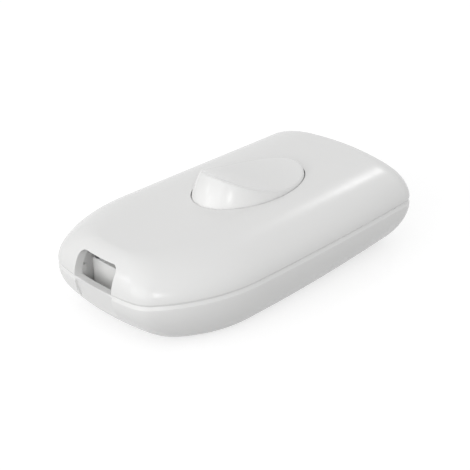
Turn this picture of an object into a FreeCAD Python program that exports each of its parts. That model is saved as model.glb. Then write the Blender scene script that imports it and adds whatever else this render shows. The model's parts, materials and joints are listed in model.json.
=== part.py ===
"""Inline cord switch: two-part housing, rocker, two-pole mechanism, cord clamps.

Millimetres. X runs along the housing (the near inlet is at -X), Z is up, the flat base lies at z = 0.
"""
import FreeCAD, Part
import math
import os

V = FreeCAD.Vector

# Housing outline in plan
LENGTH = 80.0
WIDEST_X = -14.5
HALF_WIDEST = 23.4
FAR = dict(side=1, half_end=21.4, corner=4.6, bow=2.8, top_in=4.0, top_end=13.8, base_in=6.0, base_end=12.4)
NEAR = dict(side=-1, half_end=12.2, corner=6.9, bow=1.2, top_in=6.1, top_end=7.9, base_in=10.9, base_end=10.4)
CORNER_TAPER = 0.15
TOP_HALF_WIDEST = 9.6
BASE_HALF_WIDEST = 17.3

# Housing heights and edge curves
HEIGHT = 19.3
PARTING_Z = 11.6
TOP_EXPONENT = 1.92
BASE_EXPONENT = 1.67
TOP_DRAFT = math.tan(math.radians(2.2))
BEVEL = 0.3
BEVEL_Z = 0.55
RIM_BEVEL = 0.45
RIM_BEVEL_Z = 0.8
RIM_STRAIGHT = 0.4
WALL = 2.0
LIP_OUT = 2.75
LIP_IN = 3.7
LIP_Z = 1.2

# Cord inlets
INLET_HALF = 6.0
INLET_TOP_Z = 17.6
FACET_Z = 5.0
FACET_DEPTH = 0.45
FACET_SLOPE = math.tan(math.radians(14))

# Rocker: a spheroid about the cross axis, cut by a dished top
PIVOT_X = 5.3
PIVOT_Z = 15.0
HOLE_HALF_X = 14.8
ROCKER_HALF_Y = 9.7
TRAVEL = 20.8
REST = TRAVEL / 2
RISE = HEIGHT - PIVOT_Z
ROCKER_R = math.hypot(RISE, HOLE_HALF_X)
ROCKER_GAP = 0.2
DISH_END = 8.1
DISH_DEPTH = 2.5
CREST_ROUND = 0.6
ROCKER_WALL = 1.5
SKIRT = 2.4
TRUNNION_R = 2.0
TRUNNION_L = 2.4
RUN_FIT = 0.05
EAR_GAP = 0.45
EAR = 1.9
STOP_GAP = 0.25

# Poles
POLE_Y = 4.6
SEESAW_Z = 6.2
SEESAW_SWING = 7.0
SEESAW_HALF = 1.5
SEESAW_THICK = 0.9
TIP_S = 7.2
TIP_R = 1.4
FORK_GAP = 0.12
FORK = 0.8
TROUGH_R = 3.2
PLUNGER_R = 1.5
PLUNGER_REACH = 7.7
PLUNGER_L = 7.1
TUBE_R = 2.4
TUBE_END = 4.8
BORE_TOP = 4.2
NOSE_GAP = 0.2
STRIP = 0.8
FIXED_TIP = 0.95

# Cord clamps
CLAMP_W = 5.0
CLAMP_L = 15.4
CLAMP_Z = 6.8
CLAMP_T = 7.2
CLAMP_SEAT = 0.9
CLAMP_BITE = 3.0
CLAMP_SCREW_Y = 5.2
CLAMP_IN = 8.2
CLAMP_NEAR_X = -LENGTH / 2 + CLAMP_IN
CLAMP_FAR_X = LENGTH / 2 - CLAMP_IN

# Terminals
BLOCK = V(6.4, 5.2, 6.6)
WIRE_ROOM_NEAR = 9.8
WIRE_ROOM_FAR = 1.6
BLOCK_NEAR_X = CLAMP_NEAR_X + CLAMP_W / 2 + WIRE_ROOM_NEAR
BLOCK_FAR_X = CLAMP_FAR_X - CLAMP_W / 2 - WIRE_ROOM_FAR - BLOCK.x
WIRE_R = 1.5
SCREW_R = 1.45
THREAD_GAP = 0.05
HEAD_R = 2.2
HEAD_Z = 1.5

# Housing screws
SCREW_NEAR_IN = 25.0
SCREW_FAR_IN = 15.5
HOUSING_SCREWS = [V(-LENGTH / 2 + SCREW_NEAR_IN, 12.0, 0), V(LENGTH / 2 - SCREW_FAR_IN, -11.5, 0)]
POST_R = 4.0
BOSS_R = 4.3
SPLIT_Z = 9.0
NUT = 5.0
NUT_Z = 2.4
HOUSING_BORE_R = 1.7
HOUSING_BORE_TOP = 15.0
HOUSING_HEAD_R = 2.8
HOUSING_HEAD_Z = 1.8
HOUSING_SCREW_L = 12.0
HEAD_SINK = 2.2
HEAD_GAP = 0.3


def box(x0, x1, y0, y1, z0, z1):
    return Part.makeBox(x1 - x0, y1 - y0, z1 - z0, V(x0, y0, z0))


def rod(radius, x, y, z0, z1):
    return Part.makeCylinder(radius, z1 - z0, V(x, y, z0))


def cross_rod(radius, x, z, y0, y1):
    return Part.makeCylinder(radius, y1 - y0, V(x, y0, z), V(0, 1, 0))


def quarter(half_len, half_mid, half_end, corner, bow, inset):
    """Six points on a side arc, a corner arc and half an end arc, all tangent, each moved inwards by inset."""
    drop = max(half_mid - half_end, 0.05)
    side_r = (half_len ** 2 + drop ** 2) / (2 * drop)
    end_r = (half_end ** 2 + bow ** 2) / (2 * bow)
    side_c = V(0, half_mid - side_r, 0)
    end_c = V(half_len - end_r, 0, 0)
    reach_a = side_r - corner
    reach_b = end_r - corner
    line = end_c - side_c
    apart = line.Length
    along = (reach_a ** 2 - reach_b ** 2 + apart ** 2) / (2 * apart)
    across = math.sqrt(reach_a ** 2 - along ** 2)
    unit = V(line).normalize()
    corner_c = side_c + unit * along + V(unit.y, -unit.x, 0) * across

    def on(centre, radius, angle):
        return centre + V(math.cos(angle), math.sin(angle), 0) * (radius - inset)

    a_side = math.atan2(corner_c.y - side_c.y, corner_c.x - side_c.x)
    a_end = math.atan2(corner_c.y - end_c.y, corner_c.x - end_c.x)
    return [
        on(side_c, side_r, math.pi / 2),
        on(side_c, side_r, (math.pi / 2 + a_side) / 2),
        on(side_c, side_r, a_side),
        on(corner_c, corner, (a_side + a_end) / 2),
        on(end_c, end_r, a_end),
        on(end_c, end_r, 0),
    ]


def outline(z, blend=0.0, face="top", inset=0.0):
    """Closed wire of ten arcs: the parting outline, blended towards the top or base outline."""
    halves = []
    mid_to = TOP_HALF_WIDEST if face == "top" else BASE_HALF_WIDEST
    mid = HALF_WIDEST + (mid_to - HALF_WIDEST) * blend
    for end in (FAR, NEAR):
        half_len = LENGTH / 2 - end["side"] * WIDEST_X - end[face + "_in"] * blend
        half_end = end["half_end"] + (end[face + "_end"] - end["half_end"]) * blend
        corner = end["corner"] * (1 - CORNER_TAPER * blend)
        points = quarter(half_len, mid, half_end, corner, end["bow"], inset)
        halves.append([V(WIDEST_X + end["side"] * p.x, p.y, z) for p in points])
    far, near = halves

    def flip(p):
        return V(p.x, -p.y, p.z)

    arcs = [
        (far[0], far[1], far[2]), (far[2], far[3], far[4]), (far[4], far[5], flip(far[4])),
        (flip(far[4]), flip(far[3]), flip(far[2])), (flip(far[2]), flip(far[1]), flip(far[0])),
        (flip(near[0]), flip(near[1]), flip(near[2])), (flip(near[2]), flip(near[3]), flip(near[4])),
        (flip(near[4]), near[5], near[4]), (near[4], near[3], near[2]), (near[2], near[1], near[0]),
    ]
    return Part.Wire([Part.Arc(*arc).toShape() for arc in arcs])


def curve_steps(exponent, count=7):
    """Blend and rise along a rounded edge, from the parting outline (0, 0) to the flat (1, 1)."""
    steps = []
    for i in range(count):
        angle = math.pi / 2 * i / (count - 1)
        blend = 1 - math.cos(angle) ** (2 / exponent)
        steps.append((min(blend, 1.0), math.sin(angle) ** (2 / exponent)))
    return steps


def upper_form(z0, z1, inset):
    wires = []
    for blend, rise in curve_steps(TOP_EXPONENT):
        z = z0 + (z1 - z0) * rise
        edge = inset * (1 - blend) + (z - PARTING_Z) * TOP_DRAFT
        wires.append(outline(z, blend, "top", edge))
    return Part.makeLoft(wires, True, False)


def lower_form(z0, z1, inset):
    wires = []
    for blend, rise in reversed(curve_steps(BASE_EXPONENT)):
        z = z1 - (z1 - z0) * rise
        wires.append(outline(z, blend, "base", inset * (1 - blend)))
    return Part.makeLoft(wires, True, False)


def band(z0, inset0, z1, inset1):
    return Part.makeLoft([outline(z0, inset=inset0), outline(z1, inset=inset1)], True, True)


def spheroid(grow, half_y):
    """Solid of revolution about the rocker's cross axis, in the rocker's level position."""
    radius = ROCKER_R + grow
    half_axis = ROCKER_HALF_Y * ROCKER_R / HOLE_HALF_X + grow
    end_r = radius * math.sqrt(1 - (half_y / half_axis) ** 2)
    ellipse = Part.Ellipse(V(0, 0, radius), V(0, half_axis, 0), V(0, 0, 0))
    angle = math.asin(half_y / half_axis)
    arc = ellipse.toShape(-angle, angle)
    a = arc.Vertexes[0].Point
    b = arc.Vertexes[-1].Point
    edges = [arc, Part.makeLine(b, V(0, b.y, 0)), Part.makeLine(V(0, b.y, 0), V(0, a.y, 0)),
             Part.makeLine(V(0, a.y, 0), a)]
    face = Part.Face(Part.Wire(Part.__sortEdges__(edges)))
    solid = face.revolve(V(0, 0, 0), V(0, 1, 0), 360)
    solid.translate(V(PIVOT_X, 0, PIVOT_Z))
    return solid


def dish(grow):
    """The cylinder that hollows the rocker's top; its axis runs across the switch."""
    half_chord = math.sqrt(ROCKER_R ** 2 - DISH_END ** 2)
    radius = (half_chord ** 2 + DISH_DEPTH ** 2) / (2 * DISH_DEPTH)
    centre_z = PIVOT_Z + DISH_END - DISH_DEPTH + radius
    return cross_rod(radius + grow, PIVOT_X, centre_z, -20, 20)


def skirt_foot():
    """How far out and how far below the pivot the pressed end's skirt reaches."""
    reach = math.sqrt(ROCKER_R ** 2 - SKIRT ** 2)
    turn = math.radians(REST)
    return (reach * math.cos(turn) - SKIRT * math.sin(turn),
            reach * math.sin(turn) + SKIRT * math.cos(turn))


def at_rest(shape):
    """Turn a piece of the rocker from level to its stored position, left end up."""
    turned = shape.copy()
    turned.rotate(V(PIVOT_X, 0, PIVOT_Z), V(0, 1, 0), REST)
    return turned


def seesaw_at_rest(shape):
    turned = shape.copy()
    turned.rotate(V(PIVOT_X, 0, SEESAW_Z), V(0, 1, 0), -SEESAW_SWING)
    return turned


def inlet(end_x, z0, z1):
    """Rounded notch through an end wall, open downwards."""
    reach = 6.0
    cutter = box(end_x - reach, end_x + reach, -INLET_HALF, INLET_HALF, z0, z1)
    top_edges = [e for e in cutter.Edges
                 if abs(e.CenterOfMass.z - z1) < 0.01 and abs(abs(e.CenterOfMass.y) - INLET_HALF) < 0.01]
    return cutter.makeFillet(1.6, top_edges)


def clean(shape):
    solid = shape.removeSplitter()
    return solid.Solids[0] if len(solid.Solids) == 1 else solid


# Upper housing
upper_outer = upper_form(PARTING_Z + BEVEL_Z, HEIGHT, 0.0).fuse(
    band(PARTING_Z, BEVEL, PARTING_Z + BEVEL_Z, BEVEL_Z * TOP_DRAFT))
upper_room = upper_form(PARTING_Z, HEIGHT - WALL, WALL).fuse(band(PARTING_Z - 1, WALL, PARTING_Z, WALL))
inside_top = upper_form(PARTING_Z, HEIGHT - 1.0, 1.0).fuse(band(2, 1.0, PARTING_Z, 1.0))
upper = upper_outer.cut(upper_room)
for sign in (-1, 1):
    y_in = ROCKER_HALF_Y + EAR_GAP
    y0, y1 = sorted((sign * y_in, sign * (y_in + EAR)))
    ear = box(PIVOT_X - 3.4, PIVOT_X + 3.4, y0, y1, PIVOT_Z - 3.4, HEIGHT - 0.5).common(inside_top)
    ear = ear.cut(cross_rod(TRUNNION_R + RUN_FIT, PIVOT_X, PIVOT_Z, y0 - 1, y1 + 1))
    ear = ear.cut(box(PIVOT_X - 1.75, PIVOT_X + 1.75, y0 - 1, y1 + 1, PIVOT_Z - 5, PIVOT_Z))
    upper = upper.fuse(ear)
for spot in HOUSING_SCREWS:
    boss = rod(BOSS_R, spot.x, spot.y, SPLIT_Z, HEIGHT - 0.5).common(inside_top)
    upper = upper.fuse(boss)
upper = upper.cut(spheroid(ROCKER_GAP, ROCKER_HALF_Y + ROCKER_GAP))
for spot in HOUSING_SCREWS:
    half = NUT / 2 + 0.05
    upper = upper.cut(box(spot.x - half, spot.x + half, spot.y - half, spot.y + half, SPLIT_Z - 1, SPLIT_Z + NUT_Z))
    upper = upper.cut(rod(HOUSING_BORE_R, spot.x, spot.y, SPLIT_Z, HOUSING_BORE_TOP))
for end_x in (-LENGTH / 2, LENGTH / 2):
    upper = upper.cut(inlet(end_x, PARTING_Z - 1, INLET_TOP_Z))
upper = clean(upper)

# Lower housing
bevel_foot = PARTING_Z - RIM_BEVEL_Z
form_top = bevel_foot - RIM_STRAIGHT
lower_outer = lower_form(0, form_top, 0.0)
lower_outer = lower_outer.fuse(band(form_top, 0, bevel_foot, 0))
lower_outer = lower_outer.fuse(band(bevel_foot, 0, PARTING_Z, RIM_BEVEL))
lower_room = lower_form(WALL, PARTING_Z - 1, WALL).fuse(band(PARTING_Z - 1, WALL, PARTING_Z + 1, WALL))
lower = lower_outer.cut(lower_room)
lip = band(PARTING_Z - 1.6, WALL - 0.2, PARTING_Z, WALL).fuse(band(PARTING_Z, LIP_OUT, PARTING_Z + LIP_Z, LIP_OUT))
lip = lip.cut(band(PARTING_Z - 2, LIP_IN, PARTING_Z + LIP_Z + 1, LIP_IN))
lip = lip.cut(box(-50, 50, -INLET_HALF - 1, INLET_HALF + 1, 0, 30))
inside_base = lower_form(1.0, PARTING_Z - 1, 1.0).fuse(band(PARTING_Z - 1, 1.0, PARTING_Z + 4, 1.0))
fittings = [lip]
fittings.append(box(BLOCK_NEAR_X, BLOCK_FAR_X + BLOCK.x, -0.6, 0.6, 1, 7.0))
skirt_x, skirt_z = skirt_foot()
for sign in (-1, 1):
    x_mid = PIVOT_X + sign * skirt_x
    fittings.append(box(x_mid - 0.5, x_mid + 0.5, -1.2, 1.2, 1, PIVOT_Z - skirt_z - STOP_GAP))
    for block_x in (BLOCK_NEAR_X, BLOCK_FAR_X):
        y0, y1 = sorted((sign * (POLE_Y + BLOCK.y / 2 + 0.15), sign * (POLE_Y + BLOCK.y / 2 + 1.15)))
        fittings.append(box(block_x + 0.6, block_x + BLOCK.x - 0.6, y0, y1, 1, 6.0))
for clamp_x in (CLAMP_NEAR_X, CLAMP_FAR_X):
    x0, x1 = clamp_x - CLAMP_W / 2, clamp_x + CLAMP_W / 2
    for sign in (-1, 1):
        y0, y1 = sorted((sign * 3.9, sign * CLAMP_L / 2))
        fittings.append(box(x0, x1, y0, y1, 1, CLAMP_Z))
    fittings.append(box(clamp_x - 0.7, clamp_x + 0.7, -4, 4, 1, 4.4))
for spot in HOUSING_SCREWS:
    fittings.append(rod(POST_R, spot.x, spot.y, 0.5, SPLIT_Z))
for fitting in fittings:
    lower = lower.fuse(fitting.common(inside_base) if fitting is not lip else fitting)
for clamp_x in (CLAMP_NEAR_X, CLAMP_FAR_X):
    for sign in (-1, 1):
        lower = lower.cut(rod(SCREW_R + THREAD_GAP, clamp_x, sign * CLAMP_SCREW_Y, 2.0, 10))
for spot in HOUSING_SCREWS:
    lower = lower.cut(rod(HOUSING_HEAD_R + HEAD_GAP, spot.x, spot.y, -1, HEAD_SINK))
    lower = lower.cut(rod(HOUSING_BORE_R, spot.x, spot.y, 0, SPLIT_Z + 1))
for sign in (-1, 1):
    x_rim = LENGTH / 2 - FACET_DEPTH
    x_foot = x_rim - (PARTING_Z - FACET_Z) * FACET_SLOPE
    side = [(x_rim, PARTING_Z + 1), (x_rim, PARTING_Z), (x_foot, FACET_Z), (x_rim + 5, FACET_Z), (x_rim + 5, PARTING_Z + 1)]
    points = [V(sign * x, -INLET_HALF, z) for x, z in side]
    facet = Part.Face(Part.makePolygon(points + points[:1])).extrude(V(0, 2 * INLET_HALF, 0))
    lower = lower.cut(facet)
lower = clean(lower)

# Rocker, level
skirt_cut = box(-20, 40, -20, 20, -10, PIVOT_Z - SKIRT)
rocker = spheroid(0, ROCKER_HALF_Y).cut(dish(0))
crest = [e for e in rocker.Edges if e.BoundBox.ZMin > PIVOT_Z + DISH_END - DISH_DEPTH - 0.1 and e.Length > 5]
rocker = rocker.makeFillet(CREST_ROUND, crest).cut(skirt_cut)
hollow = spheroid(-ROCKER_WALL, ROCKER_HALF_Y - ROCKER_WALL).cut(dish(ROCKER_WALL)).cut(
    box(-20, 40, -20, 20, -10, PIVOT_Z - SKIRT - 1))
rocker = rocker.cut(hollow)
filled = spheroid(-0.5, ROCKER_HALF_Y - 0.5).cut(dish(0.5))
web = box(PIVOT_X - 0.6, PIVOT_X + 0.6, -9, 9, PIVOT_Z - 1.0, PIVOT_Z + 8)
rocker = rocker.fuse(web.common(filled))
for sign in (-1, 1):
    y = sign * POLE_Y
    tube = rod(TUBE_R, PIVOT_X, y, PIVOT_Z - TUBE_END, PIVOT_Z + 8)
    low = rod(TUBE_R, PIVOT_X, y, PIVOT_Z - TUBE_END, PIVOT_Z)
    rocker = rocker.fuse(tube.common(filled).fuse(low))
    y0, y1 = sorted((sign * (ROCKER_HALF_Y - 1), sign * (ROCKER_HALF_Y + TRUNNION_L)))
    rocker = rocker.fuse(cross_rod(TRUNNION_R, PIVOT_X, PIVOT_Z, y0, y1))
for sign in (-1, 1):
    rocker = rocker.cut(rod(PLUNGER_R + RUN_FIT, PIVOT_X, sign * POLE_Y, PIVOT_Z - 9, PIVOT_Z + BORE_TOP))
rocker = clean(rocker)

pieces = {"upper_housing": upper, "lower_housing": lower, "rocker": at_rest(rocker)}


def coil(radius, wire, z0, z1, turns):
    """Round wire coil about Z, its ends at z0 and z1."""
    pitch = (z1 - z0 - 2 * wire) / turns
    helix = Part.makeHelix(pitch, pitch * turns, radius)
    profile = Part.Wire(Part.Circle(V(radius, 0, 0), V(0, 1, 0), wire).toShape())
    solid = Part.Wire(helix).makePipeShell([profile], True, True)
    solid.translate(V(0, 0, z0 + wire))
    return solid


def plunger(y):
    tip_z = PIVOT_Z - PLUNGER_REACH
    body = rod(PLUNGER_R, PIVOT_X, y, tip_z + PLUNGER_R, tip_z + PLUNGER_L)
    nose = Part.makeSphere(PLUNGER_R, V(PIVOT_X, y, tip_z + PLUNGER_R))
    return clean(body.fuse(nose))


def seesaw(y):
    """Rocking contact: a flat arm, a cradle for the plunger and a cross rod in the fork."""
    z = SEESAW_Z
    half = SEESAW_THICK / 2
    shape = [(-TIP_S - 1.5, -half), (4.6, -half), (4.6, half), (3.1, half), (2.2, 1.9), (-2.2, 1.9),
             (-3.1, half), (-TIP_S - 1.5, half)]
    points = [V(PIVOT_X + s, y - SEESAW_HALF, z + t) for s, t in shape]
    solid = Part.Face(Part.makePolygon(points + points[:1])).extrude(V(0, 2 * SEESAW_HALF, 0))
    trough_z = PIVOT_Z - PLUNGER_REACH - NOSE_GAP + TROUGH_R
    solid = solid.cut(cross_rod(TROUGH_R, PIVOT_X, trough_z, y - 3, y + 3))
    reach = SEESAW_HALF + FORK_GAP + FORK
    solid = solid.fuse(cross_rod(0.8, PIVOT_X, z, y - reach, y + reach))
    return clean(solid.cut(rod(0.7 + RUN_FIT, PIVOT_X - TIP_S, y, 0, 20)))


def moving_tip(y):
    x = PIVOT_X - TIP_S
    low = SEESAW_Z - SEESAW_THICK / 2
    disc = rod(TIP_R, x, y, low - 0.8, low)
    shank = rod(0.7, x, y, low - 0.4, SEESAW_Z + SEESAW_THICK / 2)
    return clean(disc.fuse(shank))


def fixed_tip(y):
    x = PIVOT_X - TIP_S
    top = WALL + STRIP
    return clean(rod(TIP_R, x, y, top, top + FIXED_TIP).fuse(rod(0.7, x, y, WALL, top)))


def terminal(y, block_x, wire_dir):
    """Brass block with its wire hole and screw hole, and the strip under it."""
    x1 = block_x + BLOCK.x
    solid = box(block_x, x1, y - BLOCK.y / 2, y + BLOCK.y / 2, WALL, WALL + BLOCK.z)
    if wire_dir > 0:
        start, strip_x0, strip_x1 = V(x1 - 5, y, 5.4), PIVOT_X - 1.6, block_x
    else:
        start, strip_x0, strip_x1 = V(block_x, y, 5.4), x1, PIVOT_X - TIP_S + 1.6
    solid = solid.cut(Part.makeCylinder(WIRE_R, 5, start, V(1, 0, 0)))
    x_mid = block_x + BLOCK.x / 2
    solid = solid.cut(rod(SCREW_R + THREAD_GAP, x_mid, y, 5.0, 12))
    return solid.fuse(box(strip_x0, strip_x1, y - SEESAW_HALF, y + SEESAW_HALF, WALL, WALL + STRIP))


def pivot_terminal(y):
    solid = terminal(y, BLOCK_FAR_X, 1)
    inner = SEESAW_HALF + FORK_GAP
    outer = inner + FORK
    ears = box(PIVOT_X - 1.6, PIVOT_X + 1.6, y - outer, y + outer, WALL, SEESAW_Z + 0.7)
    ears = ears.cut(box(PIVOT_X - 3, PIVOT_X + 3, y - inner, y + inner, WALL + STRIP, 20))
    ears = ears.cut(cross_rod(0.8 + RUN_FIT, PIVOT_X, SEESAW_Z, y - 5, y + 5))
    ears = ears.cut(box(PIVOT_X - 0.85, PIVOT_X + 0.85, y - 5, y + 5, SEESAW_Z, 20))
    return clean(solid.fuse(ears))


def fixed_terminal(y):
    solid = terminal(y, BLOCK_NEAR_X, -1)
    return clean(solid.cut(rod(0.7 + RUN_FIT, PIVOT_X - TIP_S, y, 0, WALL + STRIP)))


def machine_screw(x, y, seat_z, length, head_r=HEAD_R, head_z=HEAD_Z, up=1):
    """Slotted screw whose head stands on seat_z; up = -1 turns it over."""
    head = Part.makeCylinder(head_r, head_z, V(x, y, seat_z), V(0, 0, up))
    slot_z = seat_z + up * (head_z - 0.35)
    head = head.cut(Part.makeBox(2 * head_r + 1, 0.6, 0.8, V(x - head_r - 0.5, y - 0.3, slot_z - 0.4 + up * 0.05)))
    shank = Part.makeCylinder(SCREW_R, length, V(x, y, seat_z), V(0, 0, -up))
    return clean(head.fuse(shank))


def clamp(x):
    """Bar over the cord with an arch in the middle and a sunk seat for each screw."""
    half_w, half_l = CLAMP_W / 2, CLAMP_L / 2
    z0, z1 = CLAMP_Z, CLAMP_Z + CLAMP_T
    bar = box(x - half_w, x + half_w, -half_l, half_l, z0, z1)
    bar = bar.makeFillet(1.6, [e for e in bar.Edges if e.Length < CLAMP_T + 0.01 and e.Length > CLAMP_T - 0.01])
    arch = box(x - 5, x + 5, -3.8, 3.8, z0 - 1, z0 + 1.1)
    bar = bar.cut(arch)
    bar = bar.fuse(box(x - 0.5, x + 0.5, -3.8, 3.8, z0 + 0.5, z0 + 1.5))
    for sign in (-1, 1):
        y = sign * CLAMP_SCREW_Y
        bar = bar.cut(rod(1.6, x, y, z0 - 1, z1 + 1)).cut(rod(HEAD_R + 0.1, x, y, z1 - CLAMP_SEAT, z1 + 1))
    return clean(bar)


def nut(x, y):
    half = NUT / 2
    solid = box(x - half, x + half, y - half, y + half, SPLIT_Z, SPLIT_Z + NUT_Z)
    return solid.cut(rod(SCREW_R + THREAD_GAP, x, y, 0, 20))


# Mechanism, once for each pole
for name, y in (("front", -POLE_Y), ("back", POLE_Y)):
    pieces[name + "_pivot_terminal"] = pivot_terminal(y)
    pieces[name + "_fixed_terminal"] = fixed_terminal(y)
    pieces[name + "_fixed_tip"] = fixed_tip(y)
    pieces[name + "_seesaw_contact"] = seesaw_at_rest(seesaw(y))
    pieces[name + "_moving_tip"] = seesaw_at_rest(moving_tip(y))
    pieces[name + "_plunger"] = at_rest(plunger(y))
    spring_z0 = PIVOT_Z - PLUNGER_REACH + PLUNGER_L
    spring = coil(1.15, 0.2, 0, PIVOT_Z + BORE_TOP - spring_z0, 4)
    spring.translate(V(PIVOT_X, y, spring_z0))
    pieces[name + "_plunger_spring"] = at_rest(spring)

# Fasteners and clamps
block_top = WALL + BLOCK.z
near_mid = BLOCK_NEAR_X + BLOCK.x / 2
far_mid = BLOCK_FAR_X + BLOCK.x / 2
seat = CLAMP_Z + CLAMP_T - CLAMP_SEAT
clamp_screw_l = CLAMP_T - CLAMP_SEAT + CLAMP_BITE
pieces["fixed_terminal_screws"] = Part.makeCompound(
    [machine_screw(near_mid, y, block_top, 3.4) for y in (-POLE_Y, POLE_Y)])
pieces["pivot_terminal_screws"] = Part.makeCompound(
    [machine_screw(far_mid, y, block_top, 3.4) for y in (-POLE_Y, POLE_Y)])
pieces["near_cord_clamp"] = clamp(CLAMP_NEAR_X)
pieces["far_cord_clamp"] = clamp(CLAMP_FAR_X)
pieces["near_clamp_screws"] = Part.makeCompound(
    [machine_screw(CLAMP_NEAR_X, y, seat, clamp_screw_l) for y in (-CLAMP_SCREW_Y, CLAMP_SCREW_Y)])
pieces["far_clamp_screws"] = Part.makeCompound(
    [machine_screw(CLAMP_FAR_X, y, seat, clamp_screw_l) for y in (-CLAMP_SCREW_Y, CLAMP_SCREW_Y)])
pieces["housing_screws"] = Part.makeCompound(
    [machine_screw(s.x, s.y, HEAD_SINK, HOUSING_SCREW_L, HOUSING_HEAD_R, HOUSING_HEAD_Z, -1) for s in HOUSING_SCREWS])
pieces["housing_nuts"] = Part.makeCompound([nut(s.x, s.y) for s in HOUSING_SCREWS])

os.makedirs("parts", exist_ok=True)
for name, shape in pieces.items():
    shape.exportStep("parts/" + name + ".step")
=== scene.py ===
"""Inline cord switch: glossy white mouldings, brass and steel inside, plain studio."""
import json
import math

import bpy
import numpy as np
from mathutils import Matrix, Vector


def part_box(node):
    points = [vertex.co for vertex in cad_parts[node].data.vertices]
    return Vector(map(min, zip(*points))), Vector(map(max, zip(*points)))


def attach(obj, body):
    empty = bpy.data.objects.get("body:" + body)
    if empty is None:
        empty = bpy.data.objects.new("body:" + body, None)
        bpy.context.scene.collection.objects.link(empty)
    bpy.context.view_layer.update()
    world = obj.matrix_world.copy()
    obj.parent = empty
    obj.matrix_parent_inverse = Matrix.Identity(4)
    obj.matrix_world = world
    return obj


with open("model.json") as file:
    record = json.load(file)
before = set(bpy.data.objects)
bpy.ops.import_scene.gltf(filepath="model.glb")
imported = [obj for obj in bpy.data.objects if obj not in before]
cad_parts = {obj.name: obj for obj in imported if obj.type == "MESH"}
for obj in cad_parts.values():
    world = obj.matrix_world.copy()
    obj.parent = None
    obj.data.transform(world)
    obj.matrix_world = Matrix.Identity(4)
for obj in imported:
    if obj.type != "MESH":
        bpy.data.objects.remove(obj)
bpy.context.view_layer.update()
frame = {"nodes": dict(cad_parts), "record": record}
scene = bpy.context.scene
nodes = frame["nodes"]
scene.view_settings.view_transform = "Standard"


def direction(azimuth, elevation):
    """Unit vector away from the switch: azimuth in degrees from -y towards +x, elevation above the floor."""
    az, el = math.radians(azimuth), math.radians(elevation)
    return Vector((math.sin(az) * math.cos(el), -math.cos(az) * math.cos(el), math.sin(el)))


# Camera, fitted to the silhouette and the parting line
PHOTO_PX = 470
CAMERA_AZ, CAMERA_EL, CAMERA_ROLL = -43.0, 27.5, 1.6
CAMERA_DISTANCE = 0.2995
CAMERA_TARGET = Vector((0.0, 0.0, 0.010))
CAMERA_NEAR, CAMERA_FAR = 0.01, 20.0
SENSOR_MM = 36.0
PX_PER_METRE = 4470
TARGET_PX = (232.6, 228.7)


def make_camera():
    """Looks at the target from the fitted direction; the shift puts the target on its pixel."""
    back = direction(CAMERA_AZ, CAMERA_EL)
    right = direction(CAMERA_AZ + 90, 0)
    up = back.cross(right)
    roll = math.radians(CAMERA_ROLL)
    turned_right = right * math.cos(roll) - up * math.sin(roll)
    turned_up = right * math.sin(roll) + up * math.cos(roll)
    data = bpy.data.cameras.new("studio_camera")
    data.sensor_width = SENSOR_MM
    data.lens = PX_PER_METRE * CAMERA_DISTANCE / PHOTO_PX * SENSOR_MM
    data.shift_x = (PHOTO_PX / 2 - TARGET_PX[0]) / PHOTO_PX
    data.shift_y = (TARGET_PX[1] - PHOTO_PX / 2) / PHOTO_PX
    data.clip_start = CAMERA_NEAR
    data.clip_end = CAMERA_FAR
    camera = bpy.data.objects.new("studio_camera", data)
    scene.collection.objects.link(camera)
    axes = Matrix((turned_right, turned_up, back)).transposed().to_4x4()
    camera.matrix_world = Matrix.Translation(CAMERA_TARGET + back * CAMERA_DISTANCE) @ axes
    scene.camera = camera


# Noises for colour, roughness and relief: cells a metre and detail
PLASTIC_NOISES = ((40, 2), (240, 3), (2600, 2))
METAL_NOISES = ((420, 4), (900, 3), (5200, 2))
PLASTIC_DEPTH = 0.00004
METAL_DEPTH = 0.00003
PLASTIC_IOR = 1.5
NOISE_LOW, NOISE_HIGH = 0.2, 0.8


def new_material(name):
    """Returns a material with its node tree and its one shader."""
    material = bpy.data.materials.new(name)
    material.use_nodes = True
    tree = material.node_tree
    return material, tree, tree.nodes["Principled BSDF"]


def noise(tree, cells, detail):
    """Noise on the object's own coordinates."""
    coords = tree.nodes.new("ShaderNodeTexCoord")
    texture = tree.nodes.new("ShaderNodeTexNoise")
    texture.inputs["Scale"].default_value = cells
    texture.inputs["Detail"].default_value = detail
    tree.links.new(coords.outputs["Object"], texture.inputs["Vector"])
    return texture.outputs["Fac"]


def span(tree, value, low, high):
    """Noise stretched from low to high; it isn't clamped, so no plateaus show."""
    node = tree.nodes.new("ShaderNodeMapRange")
    node.clamp = False
    node.inputs["From Min"].default_value = NOISE_LOW
    node.inputs["From Max"].default_value = NOISE_HIGH
    node.inputs["To Min"].default_value = low
    node.inputs["To Max"].default_value = high
    tree.links.new(value, node.inputs["Value"])
    return node.outputs["Result"]


def tint(tree, value, dark, light):
    """Colour from dark to light by the value, past both where the value runs past zero or one."""
    node = tree.nodes.new("ShaderNodeMix")
    node.data_type = "RGBA"
    node.clamp_factor = False
    node.inputs["A"].default_value = (*dark, 1)
    node.inputs["B"].default_value = (*light, 1)
    tree.links.new(value, node.inputs["Factor"])
    return node.outputs["Result"]


def bump(tree, shader, height, strength, distance):
    """Tilts the shading by the slope of the height; a height of one stands for the distance in metres."""
    node = tree.nodes.new("ShaderNodeBump")
    node.inputs["Strength"].default_value = strength
    node.inputs["Distance"].default_value = distance
    tree.links.new(height, node.inputs["Height"])
    tree.links.new(node.outputs["Normal"], shader.inputs["Normal"])


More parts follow.
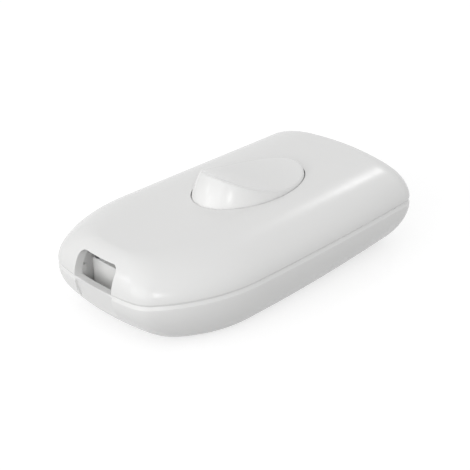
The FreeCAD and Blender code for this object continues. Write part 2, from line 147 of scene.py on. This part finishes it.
def uneven_material(name, noises, depth, dark, light, smooth, rough, relief):
    """Colour from dark to light, roughness from smooth to rough and a relief, each by a noise of its own."""
    material, tree, shader = new_material(name)
    colour_noise, polish_noise, relief_noise = (noise(tree, *pattern) for pattern in noises)
    shade = span(tree, colour_noise, 0, 1)
    tree.links.new(tint(tree, shade, dark, light), shader.inputs["Base Color"])
    tree.links.new(span(tree, polish_noise, smooth, rough), shader.inputs["Roughness"])
    bump(tree, shader, relief_noise, relief, depth)
    return material, shader


def moulded_plastic(name, *look):
    """Moulded plastic: faint flow clouding, uneven polish and a fine skin."""
    material, shader = uneven_material(name, PLASTIC_NOISES, PLASTIC_DEPTH, *look)
    shader.inputs["IOR"].default_value = PLASTIC_IOR
    return material


def worked_metal(name, *look):
    """Stamped or turned metal: mottled colour, uneven polish, short grain."""
    material, shader = uneven_material(name, METAL_NOISES, METAL_DEPTH, *look)
    shader.inputs["Metallic"].default_value = 1.0
    return material


# No range of roughness crosses 0.274, where the denoiser changes its guide and leaves patches
FINISHES = {
    "white_plastic": moulded_plastic(
        "white_gloss", (0.852, 0.852, 0.846), (0.862, 0.862, 0.856), 0.215, 0.255, 0.08),
    # The inner plastic is set paler than the white shell: painted light that brightens the dim inside of the
    # switch; its spread of tone is random
    "inner_plastic": moulded_plastic(
        "inner_matte_painted_light", (0.95, 0.95, 0.94), (0.965, 0.965, 0.955), 0.36, 0.46, 0.3),
    "brass": worked_metal(
        "stamped_brass", (0.66, 0.50, 0.24), (0.80, 0.64, 0.34), 0.29, 0.4, 0.3),
    "silver_contact": worked_metal(
        "contact_silver", (0.78, 0.78, 0.76), (0.88, 0.88, 0.86), 0.29, 0.36, 0.2),
    "zinc_steel": worked_metal(
        "zinc_plate", (0.58, 0.60, 0.62), (0.72, 0.73, 0.74), 0.29, 0.42, 0.3),
    "spring_steel": worked_metal(
        "spring_wire", (0.42, 0.43, 0.45), (0.55, 0.56, 0.58), 0.3, 0.42, 0.2),
}


def dress_nodes():
    """Gives each node the finish of its slot in the record."""
    for part in frame["record"]["subparts"]:
        mesh = nodes[part["node"]].data
        mesh.materials.clear()
        mesh.materials.append(FINISHES[part["material_slot"]])


# Guide ribs: moulded walls in the lower shell, one at each end of each cord clamp
RIB_GAP = 0.0002
RIB_THICK = 0.0010
RIB_REACH = 0.0033
RIB_RIM = 0.0025
RIB_TOP_OVER = 0.0006
RIB_FRONT_FOOT = 0.0022
RIB_MID_FOOT = -0.0014
RIB_BACK_FOOT = -0.0024
RIB_BACK = 0.0013
RIB_EDGE = 0.00015
RIB_EDGE_STEPS = 2


def rib_profile(front, low, high):
    """Side outline in x and z from the clamp's front, foot and top: upright, its foot cut on a slope."""
    return np.array([
        (front - RIB_REACH, high + RIB_TOP_OVER),
        (front - RIB_REACH, low + RIB_FRONT_FOOT),
        (front - RIB_REACH + RIB_RIM, low + RIB_MID_FOOT),
        (front + RIB_BACK, low + RIB_BACK_FOOT),
        (front + RIB_BACK, high + RIB_TOP_OVER),
    ])


def rib_faces(first, count, turned):
    """Walls from one outline to the next and a cap on each, turned over where the mirroring turned them."""
    ring = [first + k for k in range(count)]
    after = ring[1:] + ring[:1]
    shell = [[a, b, b + count, a + count] for a, b in zip(ring, after)]
    shell += [ring[::-1], [k + count for k in ring]]
    return [face[::-1] for face in shell] if turned else shell


def make_guide_ribs():
    """Each rib is its side outline carried straight across y, from the clamp's end outwards."""
    (front, _, low), (_, clamp_end, high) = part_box("near_cord_clamp")
    profile = rib_profile(front, low, high)
    count = len(profile)
    inner = clamp_end + RIB_GAP
    points, faces = [], []
    for end in (1, -1):
        for side in (1, -1):
            faces += rib_faces(len(points), count, end * side > 0)
            for across in (inner, inner + RIB_THICK):
                row = np.column_stack((profile[:, 0] * end, np.full(count, across * side), profile[:, 1]))
                points += row.tolist()
    mesh = bpy.data.meshes.new("cord_guide_ribs")
    mesh.from_pydata(points, [], faces)
    mesh.materials.append(FINISHES["white_plastic"])
    ribs = bpy.data.objects.new("cord_guide_ribs", mesh)
    scene.collection.objects.link(ribs)
    edge = ribs.modifiers.new("edge", "BEVEL")
    edge.width = RIB_EDGE
    edge.segments = RIB_EDGE_STEPS
    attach(ribs, "housing")


# Studio
FLOOR_HALF = 3.0
FLOOR_Z = -0.00002
FLOOR_GREY = 0.5
FLOOR_ROUGHNESS = 0.9
FLOOR_GLOW = 0.64
TENT_LEVEL = 0.65
SEEN_LEVEL = 1.0


def seen_by(tree, *kinds):
    """One for a ray of any of the kinds and zero for the rest: the largest of their outputs."""
    path = tree.nodes.new("ShaderNodeLightPath")
    seen = path.outputs[kinds[0]]
    for kind in kinds[1:]:
        larger = tree.nodes.new("ShaderNodeMath")
        larger.operation = "MAXIMUM"
        tree.links.new(seen, larger.inputs[0])
        tree.links.new(path.outputs[kind], larger.inputs[1])
        seen = larger.outputs[0]
    return seen


def seen_white(tree, surface, strength):
    """Adds plain white to the surface where the camera, a reflection or a refraction looks."""
    seen = seen_by(tree, "Is Camera Ray", "Is Glossy Ray", "Is Transmission Ray")
    level = tree.nodes.new("ShaderNodeMath")
    level.operation = "MULTIPLY"
    level.inputs[1].default_value = strength
    tree.links.new(seen, level.inputs[0])
    glow = tree.nodes.new("ShaderNodeEmission")
    tree.links.new(level.outputs[0], glow.inputs["Strength"])
    both = tree.nodes.new("ShaderNodeAddShader")
    tree.links.new(surface, both.inputs[0])
    tree.links.new(glow.outputs[0], both.inputs[1])
    return both.outputs[0]


def make_floor():
    """A square just under the base: dull grey that keeps the shadow, with the glow seen on top of it."""
    corners = [(x * FLOOR_HALF, y * FLOOR_HALF, FLOOR_Z) for x, y in ((-1, -1), (1, -1), (1, 1), (-1, 1))]
    mesh = bpy.data.meshes.new("floor")
    mesh.from_pydata(corners, [], [(0, 1, 2, 3)])
    floor = bpy.data.objects.new("floor", mesh)
    scene.collection.objects.link(floor)
    material, tree, shader = new_material("floor_white")
    shader.inputs["Base Color"].default_value = (FLOOR_GREY, FLOOR_GREY, FLOOR_GREY, 1)
    shader.inputs["Roughness"].default_value = FLOOR_ROUGHNESS
    shader.inputs["Specular IOR Level"].default_value = 0.0
    output = tree.nodes["Material Output"]
    tree.links.new(seen_white(tree, shader.outputs[0], FLOOR_GLOW), output.inputs["Surface"])
    mesh.materials.append(material)


def make_world():
    """An even white tent; the camera and reflections see it as plain white."""
    world = bpy.data.worlds.new("studio")
    world.use_nodes = True
    scene.world = world
    tree = world.node_tree
    background = tree.nodes["Background"]
    background.inputs["Color"].default_value = (1, 1, 1, 1)
    strength = tree.nodes.new("ShaderNodeMapRange")
    strength.inputs["To Min"].default_value = TENT_LEVEL
    strength.inputs["To Max"].default_value = SEEN_LEVEL
    tree.links.new(seen_by(tree, "Is Camera Ray", "Is Glossy Ray"), strength.inputs["Value"])
    tree.links.new(strength.outputs["Result"], background.inputs["Strength"])


# Lamps: name, azimuth and elevation in degrees, width and height in metres, watts
LAMP_DISTANCE = 0.8
LAMPS = [
    ("corner_light", -118, 25, 0.08, 0.08, 0.22),
    ("back_light", 111, 41, 0.05, 0.05, 0.17),
    ("front_key", -38, 18, 0.06, 0.2, 0.52),
    ("left_fill", -90, 50, 1.0, 1.0, 0.45),
    ("near_fill", -60, 14, 0.5, 0.5, 0.45),
    ("end_fill", -80, 22, 0.5, 0.5, 0.65),
    ("inlet_low", -93, 8, 0.4, 0.4, 0.4),
    ("inlet_side", -105, 12, 0.3, 0.3, 0.3),
]


def soft_light(name, azimuth, elevation, width, height, power):
    """Flat lamp at the given direction from the switch, turned to it; its height stands upright."""
    way = direction(azimuth, elevation)
    data = bpy.data.lights.new(name, "AREA")
    data.shape = "RECTANGLE"
    data.size = width
    data.size_y = height
    data.energy = power
    lamp = bpy.data.objects.new(name, data)
    scene.collection.objects.link(lamp)
    lamp.location = CAMERA_TARGET + way * LAMP_DISTANCE
    lamp.rotation_mode = "QUATERNION"
    lamp.rotation_quaternion = (-way).to_track_quat("-Z", "Y")


dress_nodes()
make_guide_ribs()
make_floor()
make_world()
for lamp in LAMPS:
    soft_light(*lamp)
make_camera()
